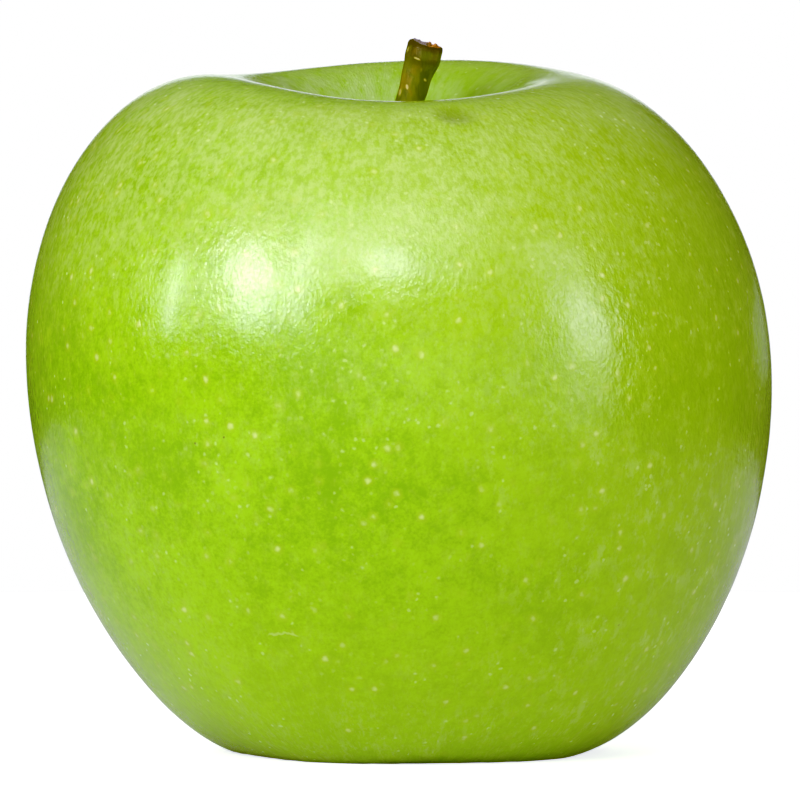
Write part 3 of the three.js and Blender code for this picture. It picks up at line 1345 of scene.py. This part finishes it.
@dataclass
class Calyx:
    """Five dried sepals around a tuft of withered stamens, in the basin underneath."""

    count: int = 5
    ring_radius: float = 2.45
    throat_radius: float = 1.94
    splay: float = 1.65
    length: float = 5.5
    base_width: float = 2.58
    tip_width: float = 0.35
    thickness: float = 0.36
    stamens: int = 18
    stamen_length: float = 3.2
    filament_radius: float = 0.07
    tuft_radius: float = 0.62
    hair_length: float = 0.35
    hair_radius: float = 0.012
    hair_density: float = 1.6e7
    seat_overlap: float = 0.5
    steps: int = 40
    columns: int = 10
    ragged_edge: float = 0.16
    crease_height: float = 0.14
    rib_height: float = 0.10
    seed: int = 40

    def build(self) -> list[bpy.types.Object]:
        """Makes the sepals and the stamen tuft.

        Returns:
            The pieces, the sepals first.
        """
        pieces = [self._sepal(index) for index in range(self.count)]
        pieces.append(self._stamen_tuft())
        return pieces

    def _axis(self) -> Vector:
        """The point on the calyx axis at the dried flower's seat.

        Returns:
            The point.
        """
        low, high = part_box("stamen_tuft")
        x, y = (low.x + high.x) / 2, (low.y + high.y) / 2
        return Vector((x, y, high.z + self.seat_overlap * MM))

    def _sepal(self, index: int) -> bpy.types.Object:
        """One sepal, a curling strip with ragged edges and a raised rib.

        Args:
            index: Which of the sepals.

        Returns:
            The piece.
        """
        chance = random.Random(self.seed + index)
        seat = self._axis()
        facing = 2 * math.pi * index / self.count
        curl = chance.uniform(-0.5, 0.7)
        spine = interpolate_bezier(
            Vector((self.ring_radius, 0.0)),
            Vector((self.throat_radius, self.length * 0.4)),
            Vector((self.throat_radius, self.length * 0.8)),
            Vector((self.ring_radius + self.splay + curl * 0.3, self.length)),
            self.steps,
        )
        rows: list[list[Vector]] = []
        for layer in (0.5, -0.5):
            for step, centre in enumerate(spine):
                along = step / (self.steps - 1)
                width = self.base_width + (self.tip_width - self.base_width) * along**1.6
                ragged = noise.noise(Vector((index * 3.0, along * 9.0, layer))) * self.ragged_edge
                row = []
                for column in range(self.columns + 1):
                    side = column / self.columns - 0.5
                    rib = math.exp(-((side / 0.12) ** 2)) * self.rib_height
                    spot = Vector((side * 5.0, along * 6.0, index * 2.0))
                    crease = noise.noise(spot) * self.crease_height
                    edge = 1 - (abs(side) * 2) ** 3 * 0.75
                    proud = layer * self.thickness * edge + crease + rib * (layer > 0)
                    radius = centre.x + proud
                    angle = facing + side * (width + ragged) / centre.x
                    drop = centre.y + self.seat_overlap * (1 - along)
                    row.append(seat + Vector((
                        radius * math.cos(angle), radius * math.sin(angle), -drop
                    )) * MM)
                rows.append(row)
        mesh = bpy.data.meshes.new(f"sepal_leaf_{index + 1}")
        verts = [point for row in rows for point in row]
        mesh.from_pydata(verts, [], self._strip_faces(self.columns + 1))
        mesh.shade_smooth()
        return self._downy(put(mesh.name, mesh), index)

    def _strip_faces(self, wide: int) -> list[tuple[int, ...]]:
        """Faces of a thin closed strip: its two sides and the edge between them.

        Args:
            wide: How many points the strip has across.

        Returns:
            The faces.
        """
        back = wide * self.steps
        faces: list[tuple[int, ...]] = []
        for step in range(self.steps - 1):
            for place in range(wide - 1):
                a = step * wide + place
                front = (a, a + 1, a + 1 + wide, a + wide)
                faces.append(front[::-1])
                faces.append(tuple(v + back for v in front))
        rim = [place for place in range(wide)]
        rim += [step * wide + wide - 1 for step in range(1, self.steps)]
        rim += [(self.steps - 1) * wide + place for place in range(wide - 2, -1, -1)]
        rim += [step * wide for step in range(self.steps - 2, 0, -1)]
        for here, ahead in zip(rim, rim[1:] + rim[:1]):
            faces.append((here, ahead, ahead + back, here + back))
        return faces

    def _downy(self, leaf: bpy.types.Object, index: int) -> bpy.types.Object:
        """Covers a sepal with short down and keeps both as one plain mesh.

        Args:
            leaf: The bare sepal, which is removed.
            index: Which of the sepals.

        Returns:
            The piece.
        """
        piece = GrownPiece(f"sepal_down_{index + 1}", DriedDown())
        graph = piece.graph
        density = piece.size("Hairs For Each Square Metre", self.hair_density)
        reach = piece.size("Hair Length", self.hair_length * MM)
        thick = piece.size("Hair Radius", self.hair_radius * MM)
        original = {"transform_space": "ORIGINAL"}
        surface = graph.add("GeometryNodeObjectInfo", original, {"Object": leaf}, "Geometry")
        spread = graph.node(
            "GeometryNodeDistributePointsOnFaces",
            {"distribute_method": "RANDOM"},
            {"Mesh": surface, "Density": density, "Seed": index},
        )
        points = Wire(graph, spread.outputs["Points"])
        turn = Wire(graph, spread.outputs["Rotation"])
        hair = graph.add(
            "GeometryNodeMeshCone",
            {},
            {"Vertices": 3, "Radius Top": 0.0, "Radius Bottom": thick, "Depth": reach},
            "Mesh",
        )
        tilt = graph.chance((-0.9, -0.9, 0.0), (0.9, 0.9, 6.28), index)
        leaning = graph.add(
            "FunctionNodeRotateRotation", {"rotation_space": "LOCAL"}, {0: turn, 1: tilt}
        )
        hairs = graph.add(
            "GeometryNodeInstanceOnPoints",
            {},
            {"Points": points, "Instance": hair, "Rotation": leaning},
        )
        sepal = piece.realise(graph.join(surface, hairs))
        bpy.data.objects.remove(leaf)
        return sepal

    def _stamen_tuft(self) -> bpy.types.Object:
        """Withered stamens: bent filaments in a ring, each with its dried anther.

        Returns:
            The piece.
        """
        finish = DriedDown("dried_stamens", (0.040, 0.020, 0.008), (0.17, 0.10, 0.04))
        piece = GrownPiece("stamens", finish)
        graph = piece.graph
        reach = piece.size("Filament Length", self.stamen_length * MM)
        thick = piece.size("Filament Radius", self.filament_radius * MM)
        ring = piece.size("Ring Radius", self.tuft_radius * MM)
        axis = self._axis()
        circle = graph.add(
            "GeometryNodeMeshCircle", {}, {"Vertices": self.stamens, "Radius": ring}, "Mesh"
        )
        line = graph.bezier(
            14,
            graph.vector(0.0, 0.0, 0.0),
            graph.vector(0.0, 0.0, reach * -0.5),
            graph.vector(reach * 0.12, reach * 0.07, reach * 0.25),
            graph.vector(reach * -0.06, 0.0, reach * -1.0),
        )
        thread = {"Resolution": 7, "Radius": thick}
        section = graph.add("GeometryNodeCurvePrimitiveCircle", {}, thread)
        filament = graph.add(
            "GeometryNodeCurveToMesh",
            {},
            {"Curve": line, "Profile Curve": section, "Fill Caps": True},
        )
        ball = {"Segments": 8, "Rings": 6, "Radius": thick * 2.4}
        anther = graph.add("GeometryNodeMeshUVSphere", {}, ball, "Mesh")
        moved = graph.add(
            "GeometryNodeTransform",
            {},
            {
                "Geometry": anther,
                "Translation": graph.vector(reach * -0.06, 0.0, reach * -1.0),
                "Scale": (1.0, 0.8, 1.7),
            },
        )
        stamen = graph.join(filament, moved)
        turn = graph.chance((-0.22, -0.22, 0.0), (0.22, 0.22, 6.28), 5)
        lengths = {"Min": 0.72, "Max": 1.0, "Seed": 6}
        length = graph.add("FunctionNodeRandomValue", {"data_type": "FLOAT"}, lengths)
        stamens = graph.add(
            "GeometryNodeInstanceOnPoints",
            {},
            {"Points": circle, "Instance": stamen, "Rotation": turn, "Scale": length},
        )
        placed = graph.add(
            "GeometryNodeTransform", {}, {"Geometry": stamens, "Translation": tuple(axis)}
        )
        return piece.realise(placed)


# --- Studio ---


@dataclass(frozen=True)
class Lamp:
    """A soft box, aimed at the fruit. Angles are in degrees, distance in metres."""

    name: str
    azimuth: float
    elevation: float
    width: float
    height: float
    radiance: float
    distance: float = 2.0
    colour: Colour = WHITE
    mirrored: bool = True
    round: bool = False

    def build(self, target: Vector) -> None:
        """Puts the lamp where the fruit sees it at its angles.

        Args:
            target: What it shines on.
        """
        azimuth, elevation = math.radians(self.azimuth), math.radians(self.elevation)
        away = Vector((
            math.sin(azimuth) * math.cos(elevation),
            -math.cos(azimuth) * math.cos(elevation),
            math.sin(elevation),
        ))
        light = bpy.data.lights.new(self.name, "AREA")
        light.shape = "ELLIPSE" if self.round else "RECTANGLE"
        light.size = 2 * self.distance * math.tan(math.radians(self.width) / 2)
        light.size_y = 2 * self.distance * math.tan(math.radians(self.height) / 2)
        face = light.size * light.size_y * (math.pi / 4 if self.round else 1.0)
        light.energy = self.radiance * math.pi * face
        light.color = self.colour
        holder = put(self.name, light)
        holder.visible_glossy = self.mirrored
        holder.location = target + away * self.distance
        holder.rotation_mode = "QUATERNION"
        holder.rotation_quaternion = away.to_track_quat("Z", "Y")


@dataclass
class Studio:
    """A pale table, soft light and the camera."""

    table_radius: float = 0.27
    camera_distance: float = 1.2
    camera_elevation: float = 2.548
    field_width: float = 0.08218
    aim_across: float = 0.00012
    aim_up: float = 0.03613
    room_light: float = 0.055
    blue_curve: tuple[tuple[float, float], ...] = (
        (0.04, 0.003), (0.065, 0.010), (0.1, 0.045), (0.2, 0.18), (0.4, 0.44), (0.7, 0.76)
    )
    lamps: tuple[Lamp, ...] = (
        Lamp("key_core_high", -49.5, 31, 13.5, 18, 7.4, colour=SOFT_PINK, round=True),
        Lamp("key_core_low", -43.5, 22.5, 14.5, 24, 7.0, colour=SOFT_PINK, round=True),
        Lamp("key_halo", -46, 26, 35, 38, 1.2, colour=SOFT_PINK, round=True),
        Lamp("key_streak", -74, 17, 5, 22, 12.0, colour=SOFT_PINK, round=True),
        Lamp("key_band", -28.5, 30, 5, 38, 8.0, colour=SOFT_PINK, round=True),
        Lamp("front_haze", 0, 48, 46, 34, 1.3, colour=SOFT_PINK),
        Lamp("front_core", 0, 38, 14, 12, 8.5, colour=SOFT_PINK, round=True),
        Lamp("front_card", 8, -1, 90, 28, 0.72),
        Lamp("right_strip", 60, 16, 17, 50, 1.6, colour=SOFT_PINK),
        Lamp("right_core", 62, 15, 11, 22, 5.0, colour=SOFT_PINK, round=True),
        Lamp("right_edge", 152, 1, 18, 5, 0.35),
        Lamp("overhead", -60, 78, 70, 60, 0.25, 1.6),
        Lamp("back_box", 178, 35, 50, 34, 0.12),
        Lamp("backdrop", 180, 4, 15, 14, 1.4),
        Lamp("back_fill", 180, 18, 60, 40, 3.0, mirrored=False),
    )

    def build(self) -> None:
        """Makes the table, the lamps, the surroundings and the camera."""
        low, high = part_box("fruit")
        target = (low + high) / 2
        self._table()
        for lamp in self.lamps:
            lamp.build(target)
        self._surroundings()
        self._camera()

    def _table(self) -> None:
        """A round pale table top under the fruit."""
        sides = 128
        ring = [
            (math.cos(2 * math.pi * i / sides), math.sin(2 * math.pi * i / sides), 0.0)
            for i in range(sides)
        ]
        mesh = bpy.data.meshes.new("table")
        verts = [tuple(c * self.table_radius for c in point) for point in ring]
        mesh.from_pydata(verts, [], [tuple(range(sides))])
        mesh.materials.append(WhiteTable().material())
        put("table", mesh)

    def _surroundings(self) -> None:
        """A white background, and a dimmer room that lights the fruit."""
        world = bpy.data.worlds.new("studio")
        world.use_nodes = True
        graph = Graph(world.node_tree)
        room = graph.add("ShaderNodeBackground", {}, {"Color": WHITE, "Strength": self.room_light})
        white = graph.add("ShaderNodeBackground", {}, {"Color": WHITE, "Strength": 1.0})
        seen = graph.add("ShaderNodeLightPath", {}, {}, "Is Camera Ray")
        mixed = graph.add("ShaderNodeMixShader", {}, {0: seen, 1: room, 2: white})
        graph.node("ShaderNodeOutputWorld", {}, {"Surface": mixed})
        scene = bpy.context.scene
        scene.world = world
        scene.view_settings.view_transform = "Standard"
        scene.view_settings.look = "None"
        self._grade(scene.view_settings)

    def _grade(self, settings: bpy.types.ColorManagedViewSettings) -> None:
        """Deepens the weakest blues.

        Args:
            settings: The scene's view settings.
        """
        settings.use_curve_mapping = True
        mapping = settings.curve_mapping
        blue = mapping.curves[2]
        for place, level in self.blue_curve:
            blue.points.new(place, level)
        mapping.update()

    def _camera(self) -> None:
        """A long lens just above the table, square on to the fruit's front."""
        camera = bpy.data.cameras.new("camera")
        camera.sensor_width = 36.0
        camera.lens = camera.sensor_width * self.camera_distance / self.field_width
        camera.clip_end = 50.0
        elevation = math.radians(self.camera_elevation)
        back = Vector((0.0, -math.cos(elevation), math.sin(elevation)))
        holder = put("camera", camera)
        target = Vector((self.aim_across, 0.0, self.aim_up))
        holder.location = target + back * self.camera_distance
        holder.rotation_mode = "QUATERNION"
        holder.rotation_quaternion = back.to_track_quat("Z", "Y")
        bpy.context.scene.camera = holder


# --- Apple ---


def hand_over(piece: bpy.types.Object, node: str) -> None:
    """Attaches a finished piece to its body, hides its CAD node and reports it.

    Args:
        piece: The finished piece.
        node: The CAD node that it stands for.
    """
    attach(piece, BODY)
    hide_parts(node)
    LOG.info("%s stands for %s: %d faces", piece.name, node, len(piece.data.polygons))


def main() -> None:
    """Builds the apple and its studio."""
    logging.basicConfig(level=logging.INFO, format="%(name)s: %(message)s")
    hand_over(Fruit().build(), "fruit")
    hand_over(Stem().build(), "stem")
    *sepals, tuft = Calyx().build()
    for index, sepal in enumerate(sepals):
        hand_over(sepal, f"sepal_{index + 1}")
    hand_over(tuft, "stamen_tuft")
    Studio().build()


if __name__ == "__main__":
    main()
